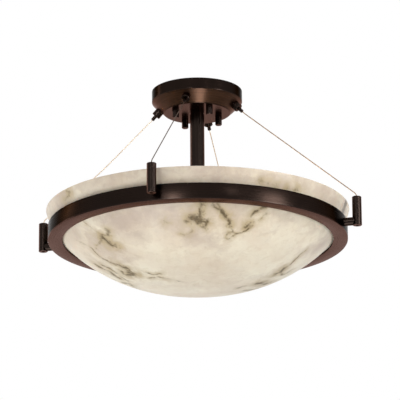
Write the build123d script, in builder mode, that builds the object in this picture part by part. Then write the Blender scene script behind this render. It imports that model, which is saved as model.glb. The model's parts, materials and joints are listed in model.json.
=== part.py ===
from build123d import *
from math import acos, asin, atan2, cos, degrees, hypot, pi, radians, sin, sqrt
import os

os.makedirs("parts", exist_ok=True)

# Semi flush ceiling light: a veined stone bowl rests in an angle-section ring, which hangs
# on four steel cables from a bevelled ceiling canopy. A central stem carries the lamps.
# Millimetres, +Z up. The origin is the centre of the ceiling plane, so the light hangs below it.

# ---------------------------------------------------------------- driving dimensions
# general fits
RUNNING_GAP = 0.05      # radial play of a piece that slides or turns in another
SEAT_GAP = 0.3          # play between curved faces that only rest on each other
THREAD_GAP = 0.1        # radial play drawn between a thread and its hole

# canopy, a pressed steel pan with a bevelled edge
CANOPY_DIAMETER = 139.7
CANOPY_SIDE_HEIGHT = 17.0
CANOPY_BEVEL_HEIGHT = 17.6
CANOPY_FACE_DIAMETER = 102.0
CANOPY_SHEET = 1.5
CANOPY_EDGE_RADIUS = 2.0

# mounting plate, screwed to the outlet box above the canopy
PLATE_THICKNESS = 2.5
PLATE_STUD_MARGIN = 6.0     # stud to the edge of the square part
PLATE_CORNER_RADIUS = 8.0
STRAP_END_MARGIN = 4.0      # end of a slot to the end of the strap
STRAP_WIDTH = 20.0
WIRE_HOLE_DIAMETER = 22.0
BOX_SCREW_SPACING = 88.9
BOX_SLOT_WIDTH = 5.0
BOX_SLOT_LENGTH = 11.0
GROUND_SCREW_DIAMETER = 4.2
GROUND_SCREW_FLATS = 6.8
GROUND_SCREW_HEAD_HEIGHT = 2.4
GROUND_WASHER_DIAMETER = 9.0
GROUND_WASHER_HEIGHT = 1.0
GROUND_SCREW_OFFSET = 24.0

# studs that hang from the plate, and the cap nuts that clamp the canopy
STUD_CIRCLE_DIAMETER = 76.2
STUD_DIAMETER = 4.0
STUD_PROTRUSION = 8.0
STUD_NUT_FLATS = 7.0
STUD_NUT_HEIGHT = 3.2
CAP_NUT_DIAMETER = 10.4
CAP_NUT_LENGTH = 13.0
CAP_NUT_CHAMFER = 0.9
CAP_NUT_SPARE_DEPTH = 1.0   # hole beyond the end of the stud

# stem with its collar, nipples and nuts
STEM_DIAMETER = 22.2
STEM_WALL = 1.5
STEM_LENGTH = 167.0
STEM_PLUG_LENGTH = 9.0
COLLAR_DIAMETER = 19.4
COLLAR_HEIGHT = 2.2
NIPPLE_DIAMETER = 9.8
NIPPLE_BORE = 6.4
NIPPLE_OVERRUN = 4.0
NIPPLE_NUT_FLATS = 16.0
NIPPLE_NUT_HEIGHT = 4.0
NIPPLE_WASHER_DIAMETER = 24.0
NIPPLE_WASHER_HEIGHT = 1.5

# ring, an angle section rolled with its flange inwards and down
RING_DIAMETER = 457.2
RING_HEIGHT = 24.0
RING_SHEET = 3.0
RING_DROP = 241.2       # ceiling to the underside of the flange
RING_LIP_GAP = 1.0      # flange edge to bowl, measured level
RING_EDGE_RADIUS = 0.6

# bowl: a flat crown, a shoulder arc, and a side arc up to the rim
BOWL_RIM_OVERHANG = 3.2     # rim outside the ring's band
BOWL_RIM_RISE = 48.0    # rim above the underside of the flange
BOWL_DEPTH = 74.4       # crown below the underside of the flange
BOWL_CROWN_RADIUS = 420.0
BOWL_CROWN_WIDTH = 122.0
BOWL_WAIST_INSET = 26.0     # bowl at the underside of the flange, in from the band's outside
BOWL_WALL = 5.0
BOWL_RIM_ROUND = 1.8

# soft strip on the flange, under the bowl
CUSHION_HEIGHT = 1.5
CUSHION_WIDTH = 6.0

# posts on the ring, each with the arm that joins it to the band
POST_RIM_GAP = 9.8      # post to the bowl's rim
POST_DIAMETER = 14.2
POST_HEIGHT = 45.0
POST_BASE_RISE = 5.0    # foot of a post above the underside of the flange
POST_EDGE_CHAMFER = 0.7
POST_BORE = 5.4
POST_ROOF = 6.0         # solid end that the cable stop hangs against
POST_CABLE_HOLE = 3.4
POST_HOLE_FLARE = 1.0
ARM_DIAMETER = 12.7
ARM_TAP_DEPTH = 9.0
POST_SCREW_DIAMETER = 5.0
POST_SCREW_HEAD_DIAMETER = 9.5
POST_SCREW_HEAD_HEIGHT = 2.8
POST_SCREW_SPARE_DEPTH = 1.0    # tapped hole beyond the end of the screw

# suspension cables and the stops swaged on their lower ends
CABLE_DIAMETER = 1.6
CABLE_TAIL = 14.0       # cable inside the canopy, behind the bevel
CABLE_BEND_REACH = 3.0  # corner of the cable's line, out from the nozzle's mouth
CABLE_NOZZLE_RADIUS = 40.0
CABLE_POST_RADIUS = 10.0
CABLE_CORNER_RISE = 4.0
STOP_DIAMETER = 4.8
STOP_LENGTH = 7.0
STOP_GRIP_LENGTH = 6.0  # cable inside its stop

# cable grippers, square to the canopy's bevel
GRIPPER_DIAMETER = 13.4
GRIPPER_LENGTH = 9.6
GRIPPER_CHAMFER = 0.8
GRIPPER_STUD_DIAMETER = 8.0
GRIPPER_STUD_LENGTH = 10.0
GRIPPER_NOSE_WALL = 1.6
GRIPPER_CONE_DEGREES = 8.0
GRIPPER_NUT_FLATS = 12.0
GRIPPER_NUT_HEIGHT = 4.0
PLUNGER_DIAMETER = 5.4
PLUNGER_REACH = 7.9     # nozzle that stands out of the body
PLUNGER_DEPTH = 5.6     # plunger inside the body, with the ball cage
PLUNGER_TIP_CHAMFER = 0.6
PLUNGER_TRAVEL = 2.2
CAGE_DEPTH = 3.6        # ball centres below the body's nose
BALL_DIAMETER = 2.0
BALL_COUNT = 3

# lamp cluster under the stem
CLUSTER_DIAMETER = 46.0
CLUSTER_WALL = 2.0
CLUSTER_EDGE_RADIUS = 3.0
CLUSTER_HEIGHT = 38.0
CLUSTER_COVER_LIP = 5.0
LAMP_AXIS_DROP = 22.0   # lamp axis below the top of the cluster
HOLDER_DIAMETER = 37.0
HOLDER_LENGTH = 38.0
HOLDER_BACK_DIAMETER = 26.0
HOLDER_SHOULDER = 9.0
HOLDER_FLOOR = 13.0     # solid back of the lampholder
HOLDER_STUB_DIAMETER = 9.6
HOLDER_STUB_LENGTH = 5.0
HOLDER_BACK_CHAMFER = 3.0
HOLDER_LIP_CHAMFER = 1.0
SHELL_WALL = 0.5
SHELL_LENGTH = 21.0
SHELL_SETBACK = 2.0     # shell in from the mouth of the lampholder
CONTACT_DIAMETER = 8.0
CONTACT_HEIGHT = 1.6
BASE_DIAMETER = 26.0
BASE_LENGTH = 24.0
BASE_TIP_DIAMETER = 10.0
BASE_TIP_LENGTH = 3.0
BASE_SHOULDER = 2.0
BULB_DIAMETER = 60.0
BULB_LENGTH = 81.0
BULB_NECK = 5.0
BULB_WALL = 1.0

# ---------------------------------------------------------------- derived places
SIDE_DEGREES = {"front": -90, "right": 0, "back": 90, "left": 180}
LAMP_DEGREES = {"a": -90, "b": 30, "c": 150}
CORNER_DEGREES = {"a": 45, "b": 135, "c": 225, "d": 315}

canopy_face_z = -(CANOPY_SIDE_HEIGHT + CANOPY_BEVEL_HEIGHT)
stem_top_z = canopy_face_z - COLLAR_HEIGHT
stem_foot_z = stem_top_z - STEM_LENGTH
cluster_foot_z = stem_foot_z - CLUSTER_HEIGHT
lamp_axis_z = stem_foot_z - LAMP_AXIS_DROP
ring_foot_z = -RING_DROP
ring_radius = RING_DIAMETER / 2
arm_axis_z = ring_foot_z + RING_HEIGHT / 2
bowl_rim_radius = ring_radius + BOWL_RIM_OVERHANG
post_circle = bowl_rim_radius + POST_RIM_GAP + POST_DIAMETER / 2
post_foot_z = ring_foot_z + POST_BASE_RISE
post_top_z = post_foot_z + POST_HEIGHT

# the bowl's arcs, in a section with its origin on the axis at the underside of the flange
def arc_between(run, climb, start_turn):
    """Turn and radius of the arc that leaves at a slope, from one end of a chord to the other."""
    turn = 2 * (atan2(climb, run) - start_turn)
    return turn, hypot(run, climb) / (2 * sin(turn / 2))


bowl_waist = ring_radius - BOWL_WAIST_INSET
crown_turn = asin(BOWL_CROWN_WIDTH / 2 / BOWL_CROWN_RADIUS)
shoulder_run = bowl_waist - BOWL_CROWN_WIDTH / 2
shoulder_climb = BOWL_DEPTH - BOWL_CROWN_RADIUS * (1 - cos(crown_turn))
shoulder_turn, shoulder_radius = arc_between(shoulder_run, shoulder_climb, crown_turn)
shoulder_end = crown_turn + shoulder_turn
side_turn, side_radius = arc_between(bowl_rim_radius - bowl_waist, BOWL_RIM_RISE, shoulder_end)


def bowl_radius_at(rise):
    """Outer radius of the bowl's side at a height above the underside of the flange."""
    centre_r = bowl_waist - side_radius * sin(shoulder_end)
    centre_z = side_radius * cos(shoulder_end)
    return centre_r + sqrt(side_radius**2 - (centre_z - rise) ** 2)


ring_opening = bowl_radius_at(RING_SHEET) + RING_LIP_GAP
cushion_inner = bowl_radius_at(RING_SHEET + CUSHION_HEIGHT) + SEAT_GAP

# the bevel: its middle, where a gripper stands, and its outward normal
bevel_run = (CANOPY_DIAMETER - CANOPY_FACE_DIAMETER) / 2
bevel_slope = hypot(bevel_run, CANOPY_BEVEL_HEIGHT)
bevel_radius = (CANOPY_DIAMETER + CANOPY_FACE_DIAMETER) / 4
bevel_z = -(CANOPY_SIDE_HEIGHT + CANOPY_BEVEL_HEIGHT / 2)
normal_r = CANOPY_BEVEL_HEIGHT / bevel_slope
normal_z = -bevel_run / bevel_slope
cable_radius = CABLE_DIAMETER / 2


def radial(angle):
    """Unit vector from the axis towards an angle in degrees."""
    return Vector(cos(radians(angle)), sin(radians(angle)), 0)


def spoke_plane(angle):
    """Upright plane through the axis: local X points outwards, local Y points up."""
    return Plane((0, 0, 0), x_dir=radial(angle), z_dir=radial(angle).cross(Vector(0, 0, 1)))


def gripper_axis(angle):
    """Axis of a gripper, square to the bevel, from the bevel outwards and down."""
    out, up = radial(angle), Vector(0, 0, 1)
    return Axis(out * bevel_radius + up * bevel_z, out * normal_r + up * normal_z)


def gripper_section(angle):
    """Plane through a gripper's axis: local X is its radius, local Y runs outwards."""
    axis = gripper_axis(angle)
    side = radial(angle + 90)
    return Plane(axis.position, x_dir=side, z_dir=side.cross(axis.direction))


def gripper_plane(angle, distance):
    """Plane square to a gripper's axis at a distance outwards from the bevel."""
    axis = gripper_axis(angle)
    origin = axis.position + axis.direction * distance
    return Plane(origin, x_dir=radial(angle + 90), z_dir=axis.direction)


def lamp_plane(angle, distance):
    """Plane square to a lamp's level axis at a distance from the light's own axis."""
    origin = radial(angle) * distance + Vector(0, 0, lamp_axis_z)
    return Plane(origin, x_dir=radial(angle + 90), z_dir=radial(angle))


def lamp_section(angle):
    """Level plane through a lamp's axis: local X runs outwards along it."""
    return Plane((0, 0, lamp_axis_z), x_dir=radial(angle), z_dir=(0, 0, 1))


def lamp_axis(angle):
    return Axis((0, 0, lamp_axis_z), radial(angle))


def save(piece, label):
    """Label a finished sub-part and write it under its own name."""
    piece.part.label = label
    export_step(piece.part, f"parts/{label}.step")


# ---------------------------------------------------------------- mounting plate
plate_side = STUD_CIRCLE_DIAMETER * cos(radians(45)) + 2 * PLATE_STUD_MARGIN
strap_length = BOX_SCREW_SPACING + BOX_SLOT_LENGTH + 2 * STRAP_END_MARGIN
with BuildPart() as mounting_plate:
    with BuildSketch(Plane.XY.offset(-PLATE_THICKNESS)):
        RectangleRounded(plate_side, plate_side, PLATE_CORNER_RADIUS)
        SlotOverall(strap_length, STRAP_WIDTH)
        Circle(WIRE_HOLE_DIAMETER / 2, mode=Mode.SUBTRACT)
        with GridLocations(BOX_SCREW_SPACING, 0, 2, 1):
            SlotOverall(BOX_SLOT_LENGTH, BOX_SLOT_WIDTH, mode=Mode.SUBTRACT)
        with PolarLocations(STUD_CIRCLE_DIAMETER / 2, 4, start_angle=45):
            Circle(STUD_DIAMETER / 2 + THREAD_GAP, mode=Mode.SUBTRACT)
        with Locations((0, GROUND_SCREW_OFFSET)):
            Circle(GROUND_SCREW_DIAMETER / 2 + THREAD_GAP, mode=Mode.SUBTRACT)
    extrude(amount=PLATE_THICKNESS)
save(mounting_plate, "mounting_plate")

# ground screw with a washer head, in the plate's tapped hole
washer_foot_z = -PLATE_THICKNESS - GROUND_WASHER_HEIGHT
with BuildPart() as ground_screw:
    with BuildSketch(Plane((0, GROUND_SCREW_OFFSET, washer_foot_z))):
        Circle(GROUND_WASHER_DIAMETER / 2)
    extrude(amount=GROUND_WASHER_HEIGHT)
    with BuildSketch(Plane((0, GROUND_SCREW_OFFSET, washer_foot_z))):
        RegularPolygon(GROUND_SCREW_FLATS / 2, 6, major_radius=False)
    extrude(amount=-GROUND_SCREW_HEAD_HEIGHT)
    with BuildSketch(Plane((0, GROUND_SCREW_OFFSET, -PLATE_THICKNESS))):
        Circle(GROUND_SCREW_DIAMETER / 2)
    extrude(amount=PLATE_THICKNESS)
save(ground_screw, "ground_screw")

# ---------------------------------------------------------------- studs and cap nuts
stud_foot_z = canopy_face_z - STUD_PROTRUSION
with BuildPart() as canopy_studs:
    with BuildSketch(Plane.XY.offset(stud_foot_z)):
        with PolarLocations(STUD_CIRCLE_DIAMETER / 2, 4, start_angle=45):
            Circle(STUD_DIAMETER / 2)
    extrude(amount=-stud_foot_z)
save(canopy_studs, "canopy_studs")

with BuildPart() as stud_nuts:
    with BuildSketch(Plane.XY.offset(-PLATE_THICKNESS - STUD_NUT_HEIGHT)):
        with PolarLocations(STUD_CIRCLE_DIAMETER / 2, 4, start_angle=45):
            RegularPolygon(STUD_NUT_FLATS / 2, 6, major_radius=False)
            Circle(STUD_DIAMETER / 2 + THREAD_GAP, mode=Mode.SUBTRACT)
    extrude(amount=STUD_NUT_HEIGHT)
save(stud_nuts, "stud_nuts")

for corner, angle in CORNER_DEGREES.items():
    cap_centre = radial(angle) * (STUD_CIRCLE_DIAMETER / 2)
    with BuildPart() as cap_nut:
        with BuildSketch(Plane((cap_centre.X, cap_centre.Y, canopy_face_z - CAP_NUT_LENGTH))):
            Circle(CAP_NUT_DIAMETER / 2)
        extrude(amount=CAP_NUT_LENGTH)
        chamfer(cap_nut.edges().group_by(Axis.Z)[0], CAP_NUT_CHAMFER)
        hole_foot_z = stud_foot_z - CAP_NUT_SPARE_DEPTH
        with BuildSketch(Plane((cap_centre.X, cap_centre.Y, hole_foot_z))):
            Circle(STUD_DIAMETER / 2 + RUNNING_GAP)
        extrude(amount=canopy_face_z - hole_foot_z, mode=Mode.SUBTRACT)
    save(cap_nut, f"cap_nut_{corner}")

# ---------------------------------------------------------------- canopy
with BuildPart() as canopy:
    with BuildSketch(Plane.XZ):
        with BuildLine():
            Polyline(
                (0, 0),
                (CANOPY_DIAMETER / 2, 0),
                (CANOPY_DIAMETER / 2, -CANOPY_SIDE_HEIGHT),
                (CANOPY_FACE_DIAMETER / 2, canopy_face_z),
                (0, canopy_face_z),
                close=True,
            )
        make_face()
    revolve(axis=Axis.Z)
    fillet(canopy.edges().filter_by(GeomType.CIRCLE).group_by(Axis.Z)[0:2], CANOPY_EDGE_RADIUS)
    offset(amount=-CANOPY_SHEET, openings=canopy.faces().sort_by(Axis.Z)[-1])
    with BuildSketch(Plane.XY.offset(canopy_face_z)):
        Circle(NIPPLE_DIAMETER / 2 + THREAD_GAP)
        with PolarLocations(STUD_CIRCLE_DIAMETER / 2, 4, start_angle=45):
            Circle(STUD_DIAMETER / 2 + SEAT_GAP)
    extrude(amount=CANOPY_SHEET, mode=Mode.SUBTRACT)
    for angle in SIDE_DEGREES.values():
        with BuildSketch(gripper_plane(angle, -2 * CANOPY_SHEET)):
            Circle(GRIPPER_STUD_DIAMETER / 2 + THREAD_GAP)
        extrude(amount=3 * CANOPY_SHEET, mode=Mode.SUBTRACT)
save(canopy, "canopy")

# ---------------------------------------------------------------- stem and its fastenings
with BuildPart() as stem_collar:
    with BuildSketch(Plane.XY.offset(stem_top_z)):
        Circle(COLLAR_DIAMETER / 2)
        Circle(NIPPLE_DIAMETER / 2 + THREAD_GAP, mode=Mode.SUBTRACT)
    extrude(amount=COLLAR_HEIGHT)
save(stem_collar, "stem_collar")

with BuildPart() as stem:
    with BuildSketch(Plane.XY.offset(stem_foot_z)):
        Circle(STEM_DIAMETER / 2)
        Circle(NIPPLE_DIAMETER / 2 + THREAD_GAP, mode=Mode.SUBTRACT)
    extrude(amount=STEM_LENGTH)
    with BuildSketch(Plane.XY.offset(stem_foot_z + STEM_PLUG_LENGTH)):
        Circle(STEM_DIAMETER / 2 - STEM_WALL)
    extrude(amount=STEM_LENGTH - 2 * STEM_PLUG_LENGTH, mode=Mode.SUBTRACT)
save(stem, "stem")

nut_seat_z = canopy_face_z + CANOPY_SHEET + NIPPLE_WASHER_HEIGHT
upper_nipple_top = nut_seat_z + NIPPLE_NUT_HEIGHT + NIPPLE_OVERRUN
upper_nipple_foot = stem_top_z - STEM_PLUG_LENGTH
with BuildPart() as stem_nipple:
    with BuildSketch(Plane.XY.offset(upper_nipple_foot)):
        Circle(NIPPLE_DIAMETER / 2)
        Circle(NIPPLE_BORE / 2, mode=Mode.SUBTRACT)
    extrude(amount=upper_nipple_top - upper_nipple_foot)
save(stem_nipple, "stem_nipple")

with BuildPart() as nipple_nut:
    with BuildSketch(Plane.XY.offset(nut_seat_z)):
        RegularPolygon(NIPPLE_NUT_FLATS / 2, 6, major_radius=False)
        Circle(NIPPLE_DIAMETER / 2 + THREAD_GAP, mode=Mode.SUBTRACT)
    extrude(amount=NIPPLE_NUT_HEIGHT)
save(nipple_nut, "nipple_nut")

with BuildPart() as nipple_washer:
    with BuildSketch(Plane.XY.offset(canopy_face_z + CANOPY_SHEET)):
        Circle(NIPPLE_WASHER_DIAMETER / 2)
        Circle(NIPPLE_DIAMETER / 2 + THREAD_GAP, mode=Mode.SUBTRACT)
    extrude(amount=NIPPLE_WASHER_HEIGHT)
save(nipple_washer, "nipple_washer")

# ---------------------------------------------------------------- lamp cluster
cluster_nut_z = stem_foot_z - CLUSTER_WALL - NIPPLE_NUT_HEIGHT
lower_nipple_foot = cluster_nut_z - NIPPLE_OVERRUN / 2
with BuildPart() as cluster_nipple:
    with BuildSketch(Plane.XY.offset(lower_nipple_foot)):
        Circle(NIPPLE_DIAMETER / 2)
        Circle(NIPPLE_BORE / 2, mode=Mode.SUBTRACT)
    extrude(amount=stem_foot_z + STEM_PLUG_LENGTH - lower_nipple_foot)
save(cluster_nipple, "cluster_nipple")

with BuildPart() as cluster_nut:
    with BuildSketch(Plane.XY.offset(cluster_nut_z)):
        RegularPolygon(NIPPLE_NUT_FLATS / 2, 6, major_radius=False)
        Circle(NIPPLE_DIAMETER / 2 + THREAD_GAP, mode=Mode.SUBTRACT)
    extrude(amount=NIPPLE_NUT_HEIGHT)
save(cluster_nut, "cluster_nut")

with BuildPart() as cluster_body:
    with BuildSketch(Plane.XY.offset(cluster_foot_z)):
        Circle(CLUSTER_DIAMETER / 2)
    extrude(amount=CLUSTER_HEIGHT)
    fillet(cluster_body.edges().group_by(Axis.Z)[-1], CLUSTER_EDGE_RADIUS)
    offset(amount=-CLUSTER_WALL, openings=cluster_body.faces().sort_by(Axis.Z)[0])
    with BuildSketch(Plane.XY.offset(stem_foot_z)):
        Circle(NIPPLE_DIAMETER / 2 + THREAD_GAP)
    extrude(amount=-2 * CLUSTER_WALL, mode=Mode.SUBTRACT)
    for angle in LAMP_DEGREES.values():
        with BuildSketch(lamp_plane(angle, CLUSTER_DIAMETER / 4)):
            Circle(HOLDER_STUB_DIAMETER / 2 + THREAD_GAP)
        extrude(amount=CLUSTER_DIAMETER / 3, mode=Mode.SUBTRACT)
save(cluster_body, "cluster_body")

with BuildPart() as cluster_cover:
    with BuildSketch(Plane.XY.offset(cluster_foot_z - CLUSTER_WALL)):
        Circle(CLUSTER_DIAMETER / 2)
    extrude(amount=CLUSTER_WALL)
    chamfer(cluster_cover.edges().group_by(Axis.Z)[0], CLUSTER_WALL / 2)
    with BuildSketch(Plane.XY.offset(cluster_foot_z)):
        Circle(CLUSTER_DIAMETER / 2 - CLUSTER_WALL - THREAD_GAP)
        Circle(CLUSTER_DIAMETER / 2 - 2 * CLUSTER_WALL, mode=Mode.SUBTRACT)
    extrude(amount=CLUSTER_COVER_LIP)
save(cluster_cover, "cluster_cover")

# ---------------------------------------------------------------- lampholders and bulbs
holder_back = CLUSTER_DIAMETER / 2
holder_mouth = holder_back + HOLDER_LENGTH
shell_outer = BASE_DIAMETER / 2 + SEAT_GAP + SHELL_WALL
shell_back = holder_mouth - SHELL_SETBACK - SHELL_LENGTH
contact_back = holder_back + HOLDER_FLOOR
base_tip = contact_back + CONTACT_HEIGHT + RUNNING_GAP
base_front = base_tip + BASE_TIP_LENGTH + BASE_LENGTH
bulb_centre = base_front + BULB_LENGTH - BULB_DIAMETER / 2


def bulb_touch(inset):
    """Angle round the ball, from the bulb's tip, where the flare from the neck meets it."""
    neck_end = base_front + BULB_NECK - bulb_centre
    neck_radius = BASE_DIAMETER / 2 - inset
    ball_share = (BULB_DIAMETER / 2 - inset) / hypot(neck_end, neck_radius)
    return atan2(neck_radius, neck_end) - acos(ball_share)


for lamp, angle in LAMP_DEGREES.items():
    with BuildPart() as lampholder:
        with BuildSketch(lamp_section(angle)):
            with BuildLine():
                Polyline(
                    (holder_back - HOLDER_STUB_LENGTH, 0),
                    (holder_back - HOLDER_STUB_LENGTH, HOLDER_STUB_DIAMETER / 2),
                    (holder_back, HOLDER_STUB_DIAMETER / 2),
                    (holder_back, HOLDER_BACK_DIAMETER / 2 - HOLDER_BACK_CHAMFER),
                    (holder_back + HOLDER_BACK_CHAMFER, HOLDER_BACK_DIAMETER / 2),
                    (holder_back + HOLDER_SHOULDER, HOLDER_DIAMETER / 2),
                    (holder_mouth - HOLDER_LIP_CHAMFER, HOLDER_DIAMETER / 2),
                    (holder_mouth, HOLDER_DIAMETER / 2 - HOLDER_LIP_CHAMFER),
                    (holder_mouth, shell_outer + THREAD_GAP),
                    (contact_back, shell_outer + THREAD_GAP),
                    (contact_back, 0),
                    close=True,
                )
            make_face()
        revolve(axis=lamp_axis(angle))
    save(lampholder, f"lampholder_{lamp}")

    with BuildPart() as screw_shell:
        with BuildSketch(lamp_plane(angle, shell_back)):
            Circle(shell_outer)
            Circle(shell_outer - SHELL_WALL, mode=Mode.SUBTRACT)
        extrude(amount=SHELL_LENGTH)
    save(screw_shell, f"screw_shell_{lamp}")

    with BuildPart() as bulb_base:
        with BuildSketch(lamp_section(angle)):
            with BuildLine():
                Polyline(
                    (base_tip, 0),
                    (base_tip, BASE_TIP_DIAMETER / 4),
                    (base_tip + BASE_TIP_LENGTH / 3, BASE_TIP_DIAMETER / 2),
                    (base_tip + BASE_TIP_LENGTH, BASE_DIAMETER / 2 - BASE_SHOULDER),
                    (base_tip + BASE_TIP_LENGTH + BASE_SHOULDER, BASE_DIAMETER / 2),
                    (base_front, BASE_DIAMETER / 2),
                    (base_front, 0),
                    close=True,
                )
            make_face()
        revolve(axis=lamp_axis(angle))
    save(bulb_base, f"bulb_base_{lamp}")

    with BuildPart() as bulb_glass:
        for inset, action in ((0, Mode.ADD), (BULB_WALL, Mode.SUBTRACT)):
            ball = BULB_DIAMETER / 2 - inset
            neck = BASE_DIAMETER / 2 - inset
            touch = bulb_touch(inset)
            with BuildSketch(lamp_section(angle)):
                with BuildLine():
                    Polyline(
                        (bulb_centre + ball, 0),
                        (base_front, 0),
                        (base_front, neck),
                        (base_front + BULB_NECK, neck),
                        (bulb_centre + ball * cos(touch), ball * sin(touch)),
                    )
                    CenterArc((bulb_centre, 0), ball, 0, degrees(touch))
                make_face()
            revolve(axis=lamp_axis(angle), mode=action)
    save(bulb_glass, f"bulb_glass_{lamp}")

with BuildPart() as centre_contacts:
    for angle in LAMP_DEGREES.values():
        with BuildSketch(lamp_plane(angle, contact_back)):
            Circle(CONTACT_DIAMETER / 2)
        extrude(amount=CONTACT_HEIGHT)
save(centre_contacts, "centre_contacts")

# ---------------------------------------------------------------- ring and cushion strip
with BuildPart() as ring:
    with BuildSketch(Plane.XZ):
        with BuildLine():
            Polyline(
                (ring_opening, ring_foot_z),
                (ring_radius, ring_foot_z),
                (ring_radius, ring_foot_z + RING_HEIGHT),
                (ring_radius - RING_SHEET, ring_foot_z + RING_HEIGHT),
                (ring_radius - RING_SHEET, ring_foot_z + RING_SHEET),
                (ring_opening, ring_foot_z + RING_SHEET),
                close=True,
            )
        make_face()
    revolve(axis=Axis.Z)
    chamfer(ring.edges().group_by(Axis.Z)[-1], RING_EDGE_RADIUS)
    for angle in SIDE_DEGREES.values():
        hole_start = radial(angle) * (ring_radius - 2 * RING_SHEET) + Vector(0, 0, arm_axis_z)
        with BuildSketch(Plane(hole_start, x_dir=radial(angle + 90), z_dir=radial(angle))):
            Circle(POST_SCREW_DIAMETER / 2 + THREAD_GAP)
        extrude(amount=3 * RING_SHEET, mode=Mode.SUBTRACT)
save(ring, "ring")

with BuildPart() as ring_cushion:
    with BuildSketch(Plane.XY.offset(ring_foot_z + RING_SHEET)):
        Circle(cushion_inner + CUSHION_WIDTH)
        Circle(cushion_inner, mode=Mode.SUBTRACT)
    extrude(amount=CUSHION_HEIGHT)
save(ring_cushion, "ring_cushion")

# ---------------------------------------------------------------- bowl
crown_foot = ring_foot_z - BOWL_DEPTH
outer_radii = (BOWL_CROWN_RADIUS, shoulder_radius, side_radius)
inner_radii = [radius - BOWL_WALL for radius in outer_radii]
turns = [degrees(turn) for turn in (crown_turn, shoulder_turn, side_turn)]
with BuildPart() as bowl:
    with BuildSketch(Plane.XZ):
        with BuildLine():
            outer_crown = JernArc((0, crown_foot), (1, 0), outer_radii[0], turns[0])
            outer_shoulder = JernArc(outer_crown @ 1, outer_crown % 1, outer_radii[1], turns[1])
            outer_side = JernArc(outer_shoulder @ 1, outer_shoulder % 1, outer_radii[2], turns[2])
            inner_crown = JernArc((0, crown_foot + BOWL_WALL), (1, 0), inner_radii[0], turns[0])
            inner_shoulder = JernArc(inner_crown @ 1, inner_crown % 1, inner_radii[1], turns[1])
            inner_side = JernArc(inner_shoulder @ 1, inner_shoulder % 1, inner_radii[2], turns[2])
            Line(outer_side @ 1, inner_side @ 1)
            Line((0, crown_foot), (0, crown_foot + BOWL_WALL))
        make_face()
    revolve(axis=Axis.Z)
    fillet(bowl.edges().filter_by(GeomType.CIRCLE).group_by(Axis.Z)[-2:], BOWL_RIM_ROUND)
save(bowl, "bowl")

# ---------------------------------------------------------------- posts
for side, angle in SIDE_DEGREES.items():
    foot_centre = radial(angle) * post_circle + Vector(0, 0, post_foot_z)
    with BuildPart() as post:
        with BuildSketch(Plane(foot_centre)):
            Circle(POST_DIAMETER / 2)
        extrude(amount=POST_HEIGHT)
        chamfer(post.edges().group_by(Axis.Z)[0], POST_EDGE_CHAMFER)
        chamfer(post.edges().group_by(Axis.Z)[-1], POST_EDGE_CHAMFER)
        arm_start = radial(angle) * ring_radius + Vector(0, 0, arm_axis_z)
        with BuildSketch(Plane(arm_start, x_dir=radial(angle + 90), z_dir=radial(angle))):
            Circle(ARM_DIAMETER / 2)
        extrude(amount=post_circle - ring_radius)
        with BuildSketch(Plane(arm_start, x_dir=radial(angle + 90), z_dir=radial(angle))):
            Circle(POST_SCREW_DIAMETER / 2 + THREAD_GAP)
        extrude(amount=ARM_TAP_DEPTH, mode=Mode.SUBTRACT)
        with BuildSketch(Plane(foot_centre)):
            Circle(POST_BORE / 2)
        extrude(amount=POST_HEIGHT - POST_ROOF, mode=Mode.SUBTRACT)
        with BuildSketch(Plane(foot_centre).offset(POST_HEIGHT - POST_ROOF)):
            Circle(POST_CABLE_HOLE / 2)
        extrude(amount=POST_ROOF, mode=Mode.SUBTRACT)
        top_circles = post.edges().filter_by(GeomType.CIRCLE).group_by(Axis.Z)[-1]
        chamfer(top_circles.sort_by(SortBy.RADIUS)[0], POST_HOLE_FLARE)
    save(post, f"post_{side}")

# screws from inside the band into the arms
with BuildPart() as post_screws:
    for angle in SIDE_DEGREES.values():
        head_start = ring_radius - RING_SHEET - POST_SCREW_HEAD_HEIGHT - THREAD_GAP
        origin = radial(angle) * head_start + Vector(0, 0, arm_axis_z)
        with BuildSketch(Plane(origin, x_dir=radial(angle + 90), z_dir=radial(angle))):
            Circle(POST_SCREW_HEAD_DIAMETER / 2)
        extrude(amount=POST_SCREW_HEAD_HEIGHT)
        with BuildSketch(Plane(origin, x_dir=radial(angle + 90), z_dir=radial(angle))):
            Circle(POST_SCREW_DIAMETER / 2)
        extrude(amount=POST_SCREW_HEAD_HEIGHT + RING_SHEET + ARM_TAP_DEPTH - POST_SCREW_SPARE_DEPTH)
save(post_screws, "post_screws")

# ---------------------------------------------------------------- grippers
# The cable runs through a plunger whose steel balls are drawn into a cone by the load. The
# plunger's nozzle stands out of the body, and pushing it in frees the balls and the cable.
nose = GRIPPER_LENGTH
cone_small = PLUNGER_DIAMETER / 2 + RUNNING_GAP
cage_centre = nose - CAGE_DEPTH
cavity_foot = nose - PLUNGER_DEPTH - PLUNGER_TRAVEL - SEAT_GAP
cone_length = nose - GRIPPER_NOSE_WALL - cavity_foot
cone_large = cone_small + cone_length * sin(radians(GRIPPER_CONE_DEGREES))
ball_radius = BALL_DIAMETER / 2
ball_circle = cable_radius + RUNNING_GAP + ball_radius


def ball_direction(plane, turn):
    """Direction from a gripper's axis towards one of its balls."""
    return plane.x_dir.rotate(Axis((0, 0, 0), plane.z_dir), turn * 360 / BALL_COUNT)


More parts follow.
